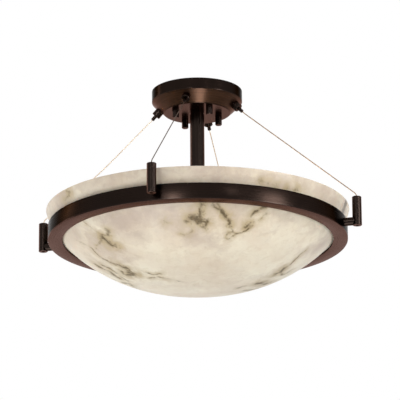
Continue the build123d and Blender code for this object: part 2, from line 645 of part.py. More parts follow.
for side, angle in SIDE_DEGREES.items():
    cage_plane = gripper_plane(angle, cage_centre)
    with BuildPart() as gripper_body:
        with BuildSketch(gripper_section(angle)):
            with BuildLine():
                Polyline(
                    (cable_radius + SEAT_GAP, -GRIPPER_STUD_LENGTH),
                    (GRIPPER_STUD_DIAMETER / 2, -GRIPPER_STUD_LENGTH),
                    (GRIPPER_STUD_DIAMETER / 2, 0),
                    (GRIPPER_DIAMETER / 2, 0),
                    (GRIPPER_DIAMETER / 2, nose - GRIPPER_CHAMFER),
                    (GRIPPER_DIAMETER / 2 - GRIPPER_CHAMFER, nose),
                    (cone_small, nose),
                    (cone_small, nose - GRIPPER_NOSE_WALL),
                    (cone_large, cavity_foot),
                    (cable_radius + SEAT_GAP, cavity_foot),
                    close=True,
                )
            make_face()
        revolve(axis=gripper_axis(angle))
    save(gripper_body, f"gripper_body_{side}")

    with BuildPart() as gripper_plunger:
        with BuildSketch(gripper_section(angle)):
            with BuildLine():
                Polyline(
                    (cable_radius + SEAT_GAP, nose - PLUNGER_DEPTH),
                    (PLUNGER_DIAMETER / 2, nose - PLUNGER_DEPTH),
                    (PLUNGER_DIAMETER / 2, nose + PLUNGER_REACH - PLUNGER_TIP_CHAMFER),
                    (PLUNGER_DIAMETER / 2 - PLUNGER_TIP_CHAMFER, nose + PLUNGER_REACH),
                    (cable_radius + SEAT_GAP, nose + PLUNGER_REACH),
                    close=True,
                )
            make_face()
        revolve(axis=gripper_axis(angle))
        for turn in range(BALL_COUNT):
            outward = ball_direction(cage_plane, turn)
            with BuildSketch(Plane(cage_plane.origin, x_dir=cage_plane.z_dir, z_dir=outward)):
                Circle(ball_radius + RUNNING_GAP)
            extrude(amount=PLUNGER_DIAMETER, mode=Mode.SUBTRACT)
    save(gripper_plunger, f"gripper_plunger_{side}")

    with BuildPart() as gripper_balls:
        for turn in range(BALL_COUNT):
            with Locations(cage_plane.origin + ball_direction(cage_plane, turn) * ball_circle):
                Sphere(ball_radius)
    save(gripper_balls, f"gripper_balls_{side}")

with BuildPart() as gripper_nuts:
    for angle in SIDE_DEGREES.values():
        with BuildSketch(gripper_plane(angle, -CANOPY_SHEET - SEAT_GAP)):
            RegularPolygon(GRIPPER_NUT_FLATS / 2, 6, major_radius=False)
            Circle(GRIPPER_STUD_DIAMETER / 2 + THREAD_GAP, mode=Mode.SUBTRACT)
        extrude(amount=-GRIPPER_NUT_HEIGHT)
save(gripper_nuts, "gripper_nuts")

# ---------------------------------------------------------------- cables
# Each cable runs from its tail in the canopy, through the gripper, straight and taut to the
# post, and down through the post's roof into the stop swaged on its end.
stop_roof_z = post_top_z - POST_ROOF - SEAT_GAP
cable_foot_z = stop_roof_z - STOP_GRIP_LENGTH
nozzle_bend = nose + PLUNGER_REACH + CABLE_BEND_REACH
corner_z = post_top_z + CABLE_CORNER_RISE
for side, angle in SIDE_DEGREES.items():
    tail = (bevel_radius - normal_r * CABLE_TAIL, bevel_z - normal_z * CABLE_TAIL)
    bend = (bevel_radius + normal_r * nozzle_bend, bevel_z + normal_z * nozzle_bend)
    corner = (post_circle, corner_z)
    foot = (post_circle, cable_foot_z)
    bend_radii = [CABLE_NOZZLE_RADIUS, CABLE_POST_RADIUS]
    with BuildPart() as cable:
        with BuildLine(spoke_plane(angle)):
            route = FilletPolyline(tail, bend, corner, foot, radius=bend_radii)
        with BuildSketch(Plane(route @ 0, z_dir=route % 0)):
            Circle(cable_radius)
        sweep(path=route)
    save(cable, f"cable_{side}")
    drawn = cable.part.volume / (pi * cable_radius**2)
    print(f"cable_{side}: route {route.length:.2f} mm, solid {drawn:.2f} mm long")

with BuildPart() as cable_stops:
    for angle in SIDE_DEGREES.values():
        centre = radial(angle) * post_circle
        with BuildSketch(Plane((centre.X, centre.Y, stop_roof_z - STOP_LENGTH))):
            Circle(STOP_DIAMETER / 2)
        extrude(amount=STOP_LENGTH)
        with BuildSketch(Plane((centre.X, centre.Y, cable_foot_z))):
            Circle(cable_radius + RUNNING_GAP)
        extrude(amount=STOP_LENGTH, mode=Mode.SUBTRACT)
save(cable_stops, "cable_stops")

print(f"bowl arcs: {', '.join(f'{radius:.2f}' for radius in outer_radii)}")
print(f"bowl: waist radius {bowl_waist:.2f}, ring opening {ring_opening:.2f}")
print(f"cable arcs: {CABLE_NOZZLE_RADIUS} at the nozzle, {CABLE_POST_RADIUS} at the post")
print(f"lamp axis z {lamp_axis_z:.2f}, bulb tip at {bulb_centre + BULB_DIAMETER / 2:.2f}")
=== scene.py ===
import json
from math import acos, asin, atan2, cos, hypot, pi, radians, sin, tan

import bpy
import numpy as np
from mathutils import Matrix, Vector
from mathutils.noise import noise as perlin
from mathutils.noise import noise_vector, seed_set


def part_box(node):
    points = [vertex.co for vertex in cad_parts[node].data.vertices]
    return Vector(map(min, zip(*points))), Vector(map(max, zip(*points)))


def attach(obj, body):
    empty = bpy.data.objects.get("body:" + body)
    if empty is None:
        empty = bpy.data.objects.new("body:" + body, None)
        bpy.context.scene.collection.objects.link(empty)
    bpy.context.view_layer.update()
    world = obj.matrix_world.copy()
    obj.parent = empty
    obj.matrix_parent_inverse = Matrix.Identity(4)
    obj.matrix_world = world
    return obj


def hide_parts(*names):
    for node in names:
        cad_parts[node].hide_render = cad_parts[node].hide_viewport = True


# Semi flush ceiling light. The CAD frame is in metres, +Z up, with the ceiling at z = 0.
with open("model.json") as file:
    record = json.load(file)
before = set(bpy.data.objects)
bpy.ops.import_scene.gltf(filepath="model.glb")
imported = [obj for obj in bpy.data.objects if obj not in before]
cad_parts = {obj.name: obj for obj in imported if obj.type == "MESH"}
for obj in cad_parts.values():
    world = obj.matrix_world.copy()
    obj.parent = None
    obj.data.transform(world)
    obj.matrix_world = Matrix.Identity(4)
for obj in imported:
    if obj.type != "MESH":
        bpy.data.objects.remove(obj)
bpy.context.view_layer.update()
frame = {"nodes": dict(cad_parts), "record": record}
nodes = frame["nodes"]
MM = 0.001
SIDES = {"front": -90, "right": 0, "back": 90, "left": 180}
LAMPS = {"a": -90, "b": 30, "c": 150}
CORNERS = {"a": 45, "b": 135, "c": 225, "d": 315}


def extent(node):
    """Lowest and highest corner of a CAD node, in millimetres."""
    return [[round(value / MM, 3) for value in corner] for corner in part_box(node)]


def heights(node):
    """Lowest and highest z of a CAD node, in millimetres."""
    low, high = extent(node)
    return low[2], high[2]


def lamp_levels(node):
    """How near the stem's axis and how far from it a node of lamp a is, in millimetres."""
    low, high = extent(node)
    return -high[1], -low[1]


# ------------------------------------------------------------------ sizes that pieces share, in millimetres
CANOPY_R, CANOPY_FACE_Z = extent("canopy")[1][0], heights("canopy")[0]
CANOPY_SIDE_H, CANOPY_FACE_R, CANOPY_SHEET = 17.0, 51.0, 1.5
BEVEL_RUN, BEVEL_DROP = CANOPY_R - CANOPY_FACE_R, -CANOPY_FACE_Z - CANOPY_SIDE_H
BEVEL_R, BEVEL_Z = (CANOPY_R + CANOPY_FACE_R) / 2, (CANOPY_FACE_Z - CANOPY_SIDE_H) / 2
RING_R, (RING_FOOT, RING_TOP) = extent("ring")[1][0], heights("ring")
RING_SHEET, RING_OPENING_R = 3.0, 206.57
STUD_CIRCLE_R, POST_CIRCLE_R = 38.1, 248.7
LAMP_Z = sum(heights("bulb_base_a")) / 2
THREAD_GAP = 0.05


# ------------------------------------------------------------------ camera, fitted to the photograph
def place_camera():
    """Long lens, 4.25 m away, 15.5 degrees round from the front and 17 degrees under the horizon."""
    turn, under, roll = radians(15.46), 0.296, -0.007
    away, aside, target = 4.2452, 0.003554, Vector((0, 0, -0.1744))
    ahead = Vector((-sin(turn) * cos(under), cos(turn) * cos(under), sin(under)))
    right = Vector((cos(turn), sin(turn), 0))
    up = right.cross(ahead)
    rolled_right = right * cos(roll) + up * sin(roll)
    rolled_up = up * cos(roll) - right * sin(roll)
    data = bpy.data.cameras.new("camera")
    data.sensor_width, data.lens = 36.0, 249.37
    data.clip_end = 200.0
    camera = bpy.data.objects.new("camera", data)
    bpy.context.scene.collection.objects.link(camera)
    axes = Matrix((rolled_right, rolled_up, -ahead)).transposed().to_4x4()
    place = target + right * aside - ahead * away
    camera.matrix_world = Matrix.Translation(place) @ axes
    bpy.context.scene.camera = camera


place_camera()


# ------------------------------------------------------------------ material tools
class Tree:
    """Short calls for building a node tree."""

    def __init__(self, name):
        self.material = bpy.data.materials.new(name)
        self.material.use_nodes = True
        self.nodes, self.links = self.material.node_tree.nodes, self.material.node_tree.links
        self.shader = self.nodes["Principled BSDF"]

    def add(self, kind, inputs=(), **settings):
        node = self.nodes.new(kind)
        for key, value in settings.items():
            setattr(node, key, value)
        for key, value in dict(inputs).items():
            self.put(node.inputs[key], value)
        return node

    def put(self, socket, value):
        if isinstance(value, bpy.types.NodeSocket):
            self.links.new(value, socket)
        else:
            socket.default_value = value

    def math(self, operation, a, b=0.0, clamp=False):
        node = self.add("ShaderNodeMath", {0: a, 1: b}, operation=operation, use_clamp=clamp)
        return node.outputs[0]

    def where(self):
        return self.add("ShaderNodeTexCoord").outputs["Object"]

    def noise(self, vector, scale, detail=4.0, roughness=0.55, distortion=0.0):
        inputs = {"Vector": vector, "Scale": scale, "Detail": detail}
        inputs |= {"Roughness": roughness, "Distortion": distortion}
        return self.add("ShaderNodeTexNoise", inputs).outputs["Fac"]

    def span(self, value, low, high, to_low=0.0, to_high=1.0):
        node = self.add(
            "ShaderNodeMapRange",
            {"Value": value, "From Min": low, "From Max": high, "To Min": to_low, "To Max": to_high},
        )
        return node.outputs["Result"]

    def mix(self, factor, a, b):
        node = self.add("ShaderNodeMix", data_type="RGBA")
        self.put(node.inputs["Factor"], factor)
        self.put(node.inputs["A"], a if isinstance(a, bpy.types.NodeSocket) else (*a, 1))
        self.put(node.inputs["B"], b if isinstance(b, bpy.types.NodeSocket) else (*b, 1))
        return node.outputs["Result"]

    def vector(self, operation, a, b=(0.0, 0.0, 0.0)):
        return self.add("ShaderNodeVectorMath", {0: a, 1: b}, operation=operation).outputs[0]

    def bump(self, height, distance, strength):
        inputs = {"Height": height, "Distance": distance, "Strength": strength}
        return self.add("ShaderNodeBump", inputs).outputs["Normal"]

    def set(self, **sockets):
        for name, value in sockets.items():
            self.put(self.shader.inputs[name.replace("_", " ")], value)
        return self.material


def brushing(tree, axis, along):
    """Fine lines that run round an upright axis, as left by polishing on a lathe."""
    across, climb = 900.0, 0.83
    point = tree.vector("SUBTRACT", tree.where(), (*axis, 0))
    parts = tree.add("ShaderNodeSeparateXYZ", {0: point})
    flat = tree.add("ShaderNodeCombineXYZ", {"X": parts.outputs["X"], "Y": parts.outputs["Y"]}).outputs[0]
    radius = tree.add("ShaderNodeVectorMath", {0: flat}, operation="LENGTH").outputs["Value"]
    turn = tree.vector("MULTIPLY", tree.vector("NORMALIZE", flat), (along, along, 0))
    run = tree.math("ADD", radius, tree.math("MULTIPLY", parts.outputs["Z"], climb))
    rise = tree.add("ShaderNodeCombineXYZ", {"Z": tree.math("MULTIPLY", run, across)}).outputs[0]
    return tree.noise(tree.vector("ADD", turn, rise), 1.0, 3.0, 0.6)


def bronze(name, axis=(0, 0), roughness=0.26, along=2.0, streak=0.05, relief=0.3, painted_highlight_zs=None, band=None):
    """Dark bronze plating under a thin lacquer, brushed round an axis, with a faint patina.

    painted_highlight_zs gives the lowest and highest z of a belt painted a lighter warm brown as a painted
    highlight, which is also rougher and brushed across;
    band gives the z above which the bronze is painted darker and browner and gleams less at a grazing angle,
    as painted shade.
    """
    # the second tint is painted shade: a duller grazing gleam above the height that band gives
    gleam, painted_shade_gleam = (0.85, 0.645, 0.60), (0.46, 0.455, 0.45)
    tree = Tree(name)
    lines = brushing(tree, axis, along)
    patina = tree.noise(tree.where(), 26.0, 5.0, 0.6, 0.4)
    grain = tree.noise(tree.where(), 2600.0, 2.0)
    base = tree.mix(tree.span(patina, 0.3, 0.72), (0.0138, 0.0107, 0.0092), (0.0200, 0.0142, 0.0120))
    base = tree.mix(tree.math("MULTIPLY", lines, 0.35), base, (0.034, 0.0215, 0.0170))
    rough = tree.math("ADD", tree.span(lines, 0.25, 0.75, -streak, streak), roughness)
    tint = (*gleam, 1)
    if painted_highlight_zs or band:
        height = tree.add("ShaderNodeSeparateXYZ", {0: tree.where()}).outputs["Z"]
    # painted highlight: a belt on the canopy's bevel is painted a lighter warm brown
    if painted_highlight_zs:
        foot = tree.span(height, painted_highlight_zs[0], painted_highlight_zs[0] + 0.0016)
        painted_highlight_belt = tree.math("MULTIPLY", foot, tree.span(height, painted_highlight_zs[1], painted_highlight_zs[1] - 0.0022))
        warm = tree.mix(tree.span(lines, 0.3, 0.7), (0.035, 0.019, 0.0125), (0.080, 0.043, 0.028))
        base = tree.mix(tree.math("MULTIPLY", painted_highlight_belt, tree.span(patina, 0.2, 0.7, 0.75, 1.0)), base, warm)
        rough = tree.math("ADD", rough, tree.math("MULTIPLY", painted_highlight_belt, 0.16))
        tangent = tree.add("ShaderNodeTangent", direction_type="RADIAL", axis="Z").outputs[0]
        tree.set(Anisotropic=tree.math("MULTIPLY", painted_highlight_belt, 0.6), Anisotropic_Rotation=0.25, Tangent=tangent)
    # painted shade: above this height the bronze is painted darker and browner, and its grazing gleam is
    # duller
    if band:
        painted_shade_mask = tree.span(height, band, band + 0.001)
        base = tree.mix(tree.math("MULTIPLY", painted_shade_mask, 0.6), base, (0.0108, 0.0062, 0.0047))
        tint = tree.mix(painted_shade_mask, gleam, painted_shade_gleam)
    rough = tree.math("ADD", rough, tree.span(patina, 0.3, 0.7, -0.03, 0.04), clamp=True)
    normal = tree.bump(tree.math("ADD", tree.math("MULTIPLY", lines, 0.8), grain), 0.00001, relief)
    return tree.set(Base_Color=base, Metallic=1.0, Roughness=rough, Specular_Tint=tint, Normal=normal)


def plated_steel(name, light, dark, roughness=0.32, scale=420.0):
    """Zinc plating with its cloudy crystals and a fine tooth."""
    tree = Tree(name)
    cells = tree.add("ShaderNodeTexVoronoi", {"Vector": tree.where(), "Scale": scale}, feature="F1")
    cloud = tree.noise(tree.where(), 150.0, 5.0)
    facets = tree.math("MULTIPLY", cells.outputs["Distance"], 0.5)
    tone = tree.math("ADD", facets, tree.math("MULTIPLY", cloud, 0.7))
    base = tree.mix(tree.span(tone, 0.3, 0.9), dark, light)
    rough = tree.span(cloud, 0.3, 0.7, roughness - 0.06, roughness + 0.1)
    grain = tree.noise(tree.where(), 3000.0, 2.0)
    return tree.set(Base_Color=base, Metallic=1.0, Roughness=rough, Normal=tree.bump(grain, 0.00001, 0.4))


def glazed(name, light, dark, roughness, coat=0.0, grain_scale=900.0, grain_depth=0.00002, mottle=45.0):
    """A non-metal with soft mottling and a slightly uneven face."""
    tree = Tree(name)
    cloud = tree.noise(tree.where(), mottle, 4.0)
    grain = tree.noise(tree.where(), grain_scale, 3.0)
    base = tree.mix(tree.span(cloud, 0.3, 0.7), dark, light)
    rough = tree.span(grain, 0.2, 0.8, roughness * 0.8, roughness * 1.2)
    normal = tree.bump(grain, grain_depth, 0.4)
    return tree.set(Base_Color=base, Roughness=rough, Coat_Weight=coat, Coat_Roughness=0.08, Normal=normal)


def stone():
    """Cream stone with warm and grey clouds; olive and grey veins follow the mesh's own attributes, and so do
    greyer clouds mixed with painted shade.
    """
    tree = Tree("alabaster")
    place = tree.where()
    inputs = {"Vector": place, "Scale": 42.0, "Detail": 6.0, "Roughness": 0.62}
    wander = tree.add("ShaderNodeTexNoise", inputs).outputs["Color"]
    shift = tree.vector("SUBTRACT", wander, (0.5, 0.5, 0.5))
    bent = tree.vector("ADD", place, tree.vector("MULTIPLY", shift, (0.05, 0.05, 0.05)))
    clouds = tree.noise(bent, 9.0, 6.0, 0.6)
    streaks = tree.add("ShaderNodeMapping", {"Vector": bent, "Scale": (1.0, 1.0, 3.2)}).outputs[0]
    bands = tree.noise(streaks, 17.0, 5.0, 0.62)
    # this attribute holds grey clouds of the stone and painted shade under the flange at the front and on the
    # rim above the ring
    veil_and_shade = tree.add("ShaderNodeAttribute", attribute_name="veil_and_shade").outputs["Fac"]
    cream = tree.mix(tree.span(clouds, 0.36, 0.64), (0.662, 0.562, 0.436), (0.812, 0.758, 0.612))
    cream = tree.mix(tree.span(bands, 0.48, 0.76, 0.0, 0.5), cream, (0.610, 0.522, 0.405))
    flecks = tree.noise(bent, 34.0, 4.0)
    cream = tree.mix(tree.span(flecks, 0.55, 0.8, 0.0, 0.3), cream, (0.700, 0.665, 0.560))
    cloudy = tree.math("ADD", veil_and_shade, tree.span(bands, 0.3, 0.7, -0.35, 0.3))
    cream = tree.mix(tree.span(cloudy, 0.1, 1.1, 0.0, 0.85), cream, (0.470, 0.373, 0.302))
    vein = tree.add("ShaderNodeAttribute", attribute_name="vein").outputs["Fac"]
    halo = tree.add("ShaderNodeAttribute", attribute_name="halo").outputs["Fac"]
    crumble = tree.noise(bent, 230.0, 6.0, 0.7)
    blots = tree.noise(bent, 80.0, 5.0, 0.62)
    smoke = tree.math("ADD", halo, tree.span(blots, 0.25, 0.75, -0.45, 0.4))
    smoke = tree.span(smoke, 0.02, 0.95, 0.0, 0.85)
    core = tree.math("ADD", vein, tree.span(crumble, 0.25, 0.75, -0.3, 0.26))
    core = tree.span(core, 0.2, 1.12, 0.0, 0.95)
    olive = tree.mix(tree.span(blots, 0.35, 0.65), (0.385, 0.288, 0.145), (0.495, 0.395, 0.240))
    ink = tree.mix(tree.span(crumble, 0.35, 0.65), (0.058, 0.038, 0.012), (0.175, 0.118, 0.050))
    base = tree.mix(smoke, cream, olive)
    base = tree.mix(core, base, ink)
    fine = tree.noise(place, 1400.0, 3.0)
    pores = tree.bump(tree.math("SUBTRACT", fine, tree.math("MULTIPLY", core, 1.2)), 0.00005, 0.3)
    rough = tree.math("ADD", tree.span(fine, 0.2, 0.8, 0.36, 0.46), tree.math("MULTIPLY", core, 0.14))
    return tree.set(
        Base_Color=base,
        Roughness=rough,
        Normal=pores,
        Subsurface_Weight=0.12,
        Subsurface_Radius=(1.0, 0.75, 0.5),
        Subsurface_Scale=0.008,
        IOR=1.46,
    )


MATERIALS = {
    "bronze": bronze("bronze"),
    "zinc_steel": plated_steel("zinc_steel", (0.66, 0.66, 0.63), (0.46, 0.47, 0.46)),
    "bright_steel": plated_steel("bright_steel", (0.78, 0.78, 0.77), (0.70, 0.70, 0.70), 0.14),
    # one steel for the cables in three tones: the darkest is painted shade, the palest painted light, the
    # brown one a middle tone
    "cable_steel": plated_steel("cable_steel", (0.46, 0.30, 0.175), (0.30, 0.19, 0.11), 0.3, 900.0),
    "cable_pale": plated_steel("cable_pale", (0.90, 0.77, 0.62), (0.78, 0.62, 0.46), 0.3, 900.0),
    "cable_dark": plated_steel("cable_dark", (0.15, 0.095, 0.065), (0.08, 0.05, 0.036), 0.3, 900.0),
    "black_glass": glazed("black_glass", (0.030, 0.029, 0.028), (0.018, 0.018, 0.018), 0.12),
    "green_steel": plated_steel("green_steel", (0.10, 0.40, 0.17), (0.06, 0.27, 0.11), 0.3),
    "alabaster": stone(),
    "silicone": glazed("silicone", (0.80, 0.80, 0.77), (0.70, 0.70, 0.67), 0.5),
    "porcelain": glazed("porcelain", (0.86, 0.85, 0.80), (0.80, 0.79, 0.73), 0.18, 0.6, 300.0, 0.00006),
    "brass": plated_steel("brass", (0.78, 0.58, 0.26), (0.62, 0.43, 0.17), 0.28),
    "bulb_cap": plated_steel("bulb_cap", (0.76, 0.76, 0.75), (0.60, 0.60, 0.60), 0.27, 260.0),
    "frosted_glass": glazed(
        "frosted_glass", (0.93, 0.93, 0.90), (0.89, 0.89, 0.86), 0.33, 0.25, 1800.0, 0.00001, 30.0
    ),
    # painted shade on the ring's band above the flange
    "bronze_ring": bronze("bronze_ring", band=(RING_FOOT + 1.0) * MM),
    "bronze_stem": bronze("bronze_stem", roughness=0.22, along=0.5, streak=0.012, relief=0.04),
    # painted highlight on the canopy's bevel belt, and painted shade on its side above the bevel
    "bronze_canopy": bronze(
        "bronze_canopy",
        roughness=0.2,
        painted_highlight_zs=((CANOPY_FACE_Z + 0.1) * MM, (0.5 - CANOPY_SIDE_H) * MM),
        band=-(CANOPY_SIDE_H + 0.2) * MM,
    ),
}


def upright_bronze(name, circle_radius, angle, streak, relief):
    """Bronze brushed round an axis that stands at an angle on a circle, in degrees and millimetres."""
    axis = (circle_radius * MM * cos(radians(angle)), circle_radius * MM * sin(radians(angle)))
    MATERIALS[name] = bronze(name, axis, 0.24, 0.6, streak, relief)


for side, angle in SIDES.items():
    upright_bronze(f"bronze_post_{side}", POST_CIRCLE_R, angle, 0.015, 0.06)
for corner, angle in CORNERS.items():
    upright_bronze(f"bronze_cap_{corner}", STUD_CIRCLE_R, angle, 0.02, 0.1)


# ------------------------------------------------------------------ mesh tools
def piece(name, vertices, faces, slot, body, replaced=(), material=None, sharp=32):
    """One mesh object that rides on a body and may stand for CAD nodes."""
    mesh = bpy.data.meshes.new(name)
    mesh.from_pydata([tuple(v) for v in vertices], [], faces)
    mesh.validate()
    mesh.polygons.foreach_set("use_smooth", [True] * len(mesh.polygons))
    mesh.set_sharp_from_angle(angle=radians(sharp))
    mesh.materials.append(MATERIALS[material or slot])
    obj = bpy.data.objects.new(name, mesh)
    bpy.context.scene.collection.objects.link(obj)
    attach(obj, body)
    if replaced:
        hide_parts(*replaced)
    return obj


def rounded(points, radius, steps=4, closed=True):
    """A section with its corners rounded; a corner is (x, y) or (x, y, its own radius)."""
    out, count = [], len(points)
    for i, corner in enumerate(points):
        here = Vector(corner[:2])
        own = corner[2] if len(corner) > 2 else radius
        if own <= 0 or (not closed and i in (0, count - 1)):
            out.append(tuple(here))
            continue
        before = Vector(points[i - 1][:2]) - here
        after = Vector(points[(i + 1) % count][:2]) - here
        half = before.angle(after) / 2
        if half > radians(86):
            out.append(tuple(here))
            continue
        cut = min(own / tan(half), before.length * 0.49, after.length * 0.49)
        own = cut * tan(half)
        bisector = (before.normalized() + after.normalized()).normalized()
        centre = here + bisector * (own / sin(half))
        first = here + before.normalized() * cut - centre
        last = here + after.normalized() * cut - centre
        sweep = first.angle_signed(last)
        for k in range(steps + 1):
            turned = Matrix.Rotation(-sweep * k / steps, 2) @ first
            out.append(tuple(centre + turned))
    return out


def lathe(section, segments, place, closed=True):
    """Vertices and faces of a section of (radius, height) millimetres turned round place's Z axis.

    A point (radius, height, True) gives a hexagonal row, where the radius is half the width across flats.
    """
    vertices, faces, rings = [], [], []
    for radius, height, *hexagonal in section:
        if radius < 1e-6:
            rings.append([len(vertices)])
            vertices.append(place @ Vector((0, 0, height * MM)))
            continue
        rings.append(list(range(len(vertices), len(vertices) + segments)))
        for k in range(segments):
            turn = 2 * pi * k / segments
            out = radius / cos(turn % (pi / 3) - pi / 6) if hexagonal else radius
            vertices.append(place @ Vector((out * cos(turn) * MM, out * sin(turn) * MM, height * MM)))
    pairs = list(zip(rings, rings[1:])) + ([(rings[-1], rings[0])] if closed else [])
    for low, high in pairs:
        for k in range(segments):
            n = (k + 1) % segments
            if len(low) == 1:
                faces.append((low[0], high[n], high[k]))
            elif len(high) == 1:
                faces.append((low[k], low[n], high[0]))
            else:
                faces.append((low[k], low[n], high[n], high[k]))
    return vertices, faces


def joined(parts):
    """Several (vertices, faces) as one."""
    vertices, faces = [], []
    for more, their_faces in parts:
        start = len(vertices)
        vertices += list(more)
        faces += [tuple(i + start for i in face) for face in their_faces]
    return vertices, faces


def upright(x=0.0, y=0.0):
    return Matrix.Translation((x * MM, y * MM, 0))


def around(angle):
    return Vector((cos(radians(angle)), sin(radians(angle)), 0))


def facing(origin, direction):
    """A place whose Z axis points along direction; origin is in millimetres."""
    turn = Vector((0, 0, 1)).rotation_difference(Vector(direction)).to_matrix().to_4x4()
    return Matrix.Translation(Vector(origin) * MM) @ turn


def nut(across_flats, levels, place, bore, chamfer):
    """A hexagonal nut between two levels, with its corners turned down at both ends."""
    low, high = levels
    flat, turned = across_flats / 2, across_flats / 2 - 0.1
    section = [
        (turned, low),
        (flat, low + chamfer, True),
        (flat, high - chamfer, True),
        (turned, high),
        (bore, high),
        (bore, low),
    ]
    return lathe(section, 48, place)


def thread(radius, depth, pitch, low, high, place, segments=48, taper=1.0):
    """A rod with a rounded screw thread between two heights, its ends closed."""
    turns = (high - low) / pitch
    rows = max(8, int(turns * 8))
    vertices, faces, grid = [], [], []
    for i in range(rows + 1):
        height = low + (high - low) * i / rows
        fade = min(1.0, (height - low) / (pitch * taper), (high - height) / (pitch * taper))
        row = []
        for k in range(segments):
            turn = 2 * pi * k / segments
            wave = 0.5 - 0.5 * cos(2 * pi * (height - low) / pitch - turn)
            here = radius - depth * (wave * fade + (1 - fade) * 0.6)
            row.append(len(vertices))
            vertices.append(place @ Vector((here * cos(turn) * MM, here * sin(turn) * MM, height * MM)))
        grid.append(row)
    for low_row, high_row in zip(grid, grid[1:]):
        for k in range(segments):
            n = (k + 1) % segments
            faces.append((low_row[k], low_row[n], high_row[n], high_row[k]))
    faces += [tuple(reversed(grid[0])), tuple(grid[-1])]
    return vertices, faces


# ------------------------------------------------------------------ bowl
# The same arcs as the solid's: a flat crown, a shoulder and a side, met smoothly.
CROWN_R, CROWN_HALF, DEPTH, RISE, WALL, RIM_ROUND = 420.0, 61.0, 74.4, 48.0, 5.0, 1.8
WAIST, RIM = RING_R - 26.0, RING_R + 3.2


def arc_between(run, climb, start):
    """Turn and radius of the arc that leaves at the slope start and ends run further out and climb higher."""
    turn = 2 * (atan2(climb, run) - start)
    return turn, hypot(run, climb) / (2 * sin(turn / 2))


crown_turn = asin(CROWN_HALF / CROWN_R)
crown_rise = CROWN_R * (1 - cos(crown_turn))
shoulder_turn, shoulder_r = arc_between(WAIST - CROWN_HALF, DEPTH - crown_rise, crown_turn)
side_turn, side_r = arc_between(RIM - WAIST, RISE, crown_turn + shoulder_turn)
ARCS = (  # centre radius, centre height, radius, first slope, last slope
    (0.0, CROWN_R - DEPTH, CROWN_R, 0.0, crown_turn),
    (
        CROWN_HALF - shoulder_r * sin(crown_turn),
        crown_rise - DEPTH + shoulder_r * cos(crown_turn),
        shoulder_r,
        crown_turn,
        crown_turn + shoulder_turn,
    ),
    (
        WAIST - side_r * sin(crown_turn + shoulder_turn),
        side_r * cos(crown_turn + shoulder_turn),
        side_r,
        crown_turn + shoulder_turn,
        crown_turn + shoulder_turn + side_turn,
    ),
)
BOWL_RUN = sum(radius * (last - first) for _, _, radius, first, last in ARCS)


def bowl_point(run, inset=0.0):
    """(radius, height) at a distance along the outer section from the bottom, or inset under it."""
    for centre_r, centre_z, radius, first, last in ARCS:
        length = radius * (last - first)
        if run <= length + 1e-6 or last == ARCS[-1][4]:
            slope = first + min(run, length) / radius
            reach = radius - inset
            return centre_r + reach * sin(slope), centre_z - reach * cos(slope) + RING_FOOT
        run -= length


